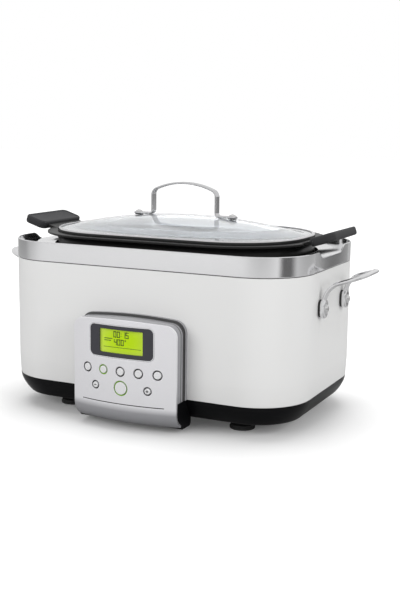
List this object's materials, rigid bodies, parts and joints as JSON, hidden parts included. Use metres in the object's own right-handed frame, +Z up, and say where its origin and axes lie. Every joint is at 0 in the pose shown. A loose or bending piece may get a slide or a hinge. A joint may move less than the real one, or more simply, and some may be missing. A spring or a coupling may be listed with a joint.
{
  "type": "slow cooker",
  "caption": "Oval electric slow cooker: white body on a black base, lift-out black pot, domed glass lid, loop side handles and a bowed front control panel with a display and push buttons.",
  "frame": {"origin": "on the table, under the middle of the oval body and of the whole object: the control pod reaches as far forward as the strain relief reaches back", "axes": "+X along the body, through the side handles; -Y towards the user, through the control pod; +Z up"},
  "size_m": [0.4746, 0.3118, 0.2691],
  "materials": {
    "white_enamel": "satin baked enamel",
    "polished_steel": "mirror-polished stainless",
    "satin_steel": "satin stainless",
    "plated_steel": "zinc plated",
    "heater_alloy": "as cast",
    "element_sheath": "oxidised",
    "bush_ceramic": "matte",
    "blanket": "woven glass fibre",
    "pot_black": "non-stick black coating",
    "grip_silicone": "matte silicone",
    "foot_rubber": "matte",
    "black_plastic": "gloss moulded",
    "dark_plastic": "matte moulded",
    "silver_plastic": "silver paint",
    "grey_plastic": "grey moulded",
    "button_plastic": "silver paint",
    "window_black": "smoked gloss",
    "trim_chrome": "bright plated",
    "display_green": "backlit",
    "lit_green": "lit light guide",
    "board_green": "solder mask",
    "relay_blue": "moulded",
    "transformer_core": "varnished",
    "capacitor_sleeve": "printed sleeve",
    "terminal_green": "moulded",
    "lead_white": "silicone sleeve",
    "lead_black": "sheath",
    "ribbon_grey": "flat cable",
    "lid_glass": "clear tempered"
  },
  "bodies": {
    "housing": {"outer_shell": "white_enamel", "rim_band": "polished_steel", "well_liner": "satin_steel", "insulation_wrap": "blanket", "base_tray": "black_plastic", "rubber_feet": "foot_rubber", "tie_screws": "plated_steel", "tie_nuts": "plated_steel", "heater_plate": "heater_alloy", "heating_element": "element_sheath", "element_bushes": "bush_ceramic", "heater_studs": "plated_steel", "sensor_spring": "satin_steel", "sensor_bracket": "satin_steel", "thermal_fuse": "bush_ceramic", "power_board": "board_green", "relay": "relay_blue", "transformer": "transformer_core", "capacitors": "capacitor_sleeve", "terminal_block": "terminal_green", "board_screws": "plated_steel", "element_leads": "lead_white", "mains_leads": "lead_black", "cord_gland": "dark_plastic", "side_handle_left": "polished_steel", "side_handle_right": "polished_steel", "handle_spacers": "dark_plastic", "handle_screws": "plated_steel", "handle_nuts": "plated_steel", "pod_base": "black_plastic", "pod_surround": "grey_plastic", "pod_fascia": "silver_plastic", "pod_screws": "plated_steel", "display_window": "window_black", "display_trim": "trim_chrome", "display_module": "display_green", "control_board": "board_green", "tact_switches": "dark_plastic", "lit_rings": "lit_green", "dark_rings": "dark_plastic", "control_ribbon": "ribbon_grey"},
    "pot": {"pot_shell": "pot_black", "pot_grip_left": "grip_silicone", "pot_grip_right": "grip_silicone"},
    "lid": {"lid_glass": "lid_glass", "lid_rim": "polished_steel", "lid_handle": "polished_steel", "lid_screws": "plated_steel", "lid_washers": "dark_plastic"},
    "sensor_plunger": {"sensor_cap": "heater_alloy"},
    "button_1_cap": {"button_1": "button_plastic"},
    "button_2_cap": {"button_2": "button_plastic"},
    "button_3_cap": {"button_3": "button_plastic"},
    "button_4_cap": {"button_4": "button_plastic"},
    "button_5_cap": {"button_5": "button_plastic"},
    "button_minus_cap": {"button_minus": "button_plastic"},
    "button_start_cap": {"button_start": "button_plastic"},
    "button_plus_cap": {"button_plus": "button_plastic"}
  },
  "joints": [
    {"name": "pot_lift", "type": "slide", "parent": "housing", "child": "pot", "axis": [0, 0, 1], "range_m": [0, 0.13]},
    {"name": "lid_lift", "type": "slide", "parent": "pot", "child": "lid", "axis": [0, 0, 1], "range_m": [0, 0.06]},
    {"name": "sensor_press", "type": "slide", "parent": "housing", "child": "sensor_plunger", "axis": [0, 0, -1], "range_m": [0, 0.0025], "stiffness_N_per_m": 300, "deforming": ["sensor_spring"]},
    {"name": "button_1_press", "type": "slide", "parent": "housing", "child": "button_1_cap", "axis": [0, 1, 0], "range_m": [0, 0.0008], "stiffness_N_per_m": 500},
    {"name": "button_2_press", "type": "slide", "parent": "housing", "child": "button_2_cap", "axis": [0, 1, 0], "range_m": [0, 0.0008], "stiffness_N_per_m": 500},
    {"name": "button_3_press", "type": "slide", "parent": "housing", "child": "button_3_cap", "axis": [0, 1, 0], "range_m": [0, 0.0008], "stiffness_N_per_m": 500},
    {"name": "button_4_press", "type": "slide", "parent": "housing", "child": "button_4_cap", "axis": [0, 1, 0], "range_m": [0, 0.0008], "stiffness_N_per_m": 500},
    {"name": "button_5_press", "type": "slide", "parent": "housing", "child": "button_5_cap", "axis": [0, 1, 0], "range_m": [0, 0.0008], "stiffness_N_per_m": 500},
    {"name": "button_minus_press", "type": "slide", "parent": "housing", "child": "button_minus_cap", "axis": [0, 1, 0], "range_m": [0, 0.0008], "stiffness_N_per_m": 500},
    {"name": "button_start_press", "type": "slide", "parent": "housing", "child": "button_start_cap", "axis": [0, 1, 0], "range_m": [0, 0.0008], "stiffness_N_per_m": 500},
    {"name": "button_plus_press", "type": "slide", "parent": "housing", "child": "button_plus_cap", "axis": [0, 1, 0], "range_m": [0, 0.0008], "stiffness_N_per_m": 500}
  ]
}
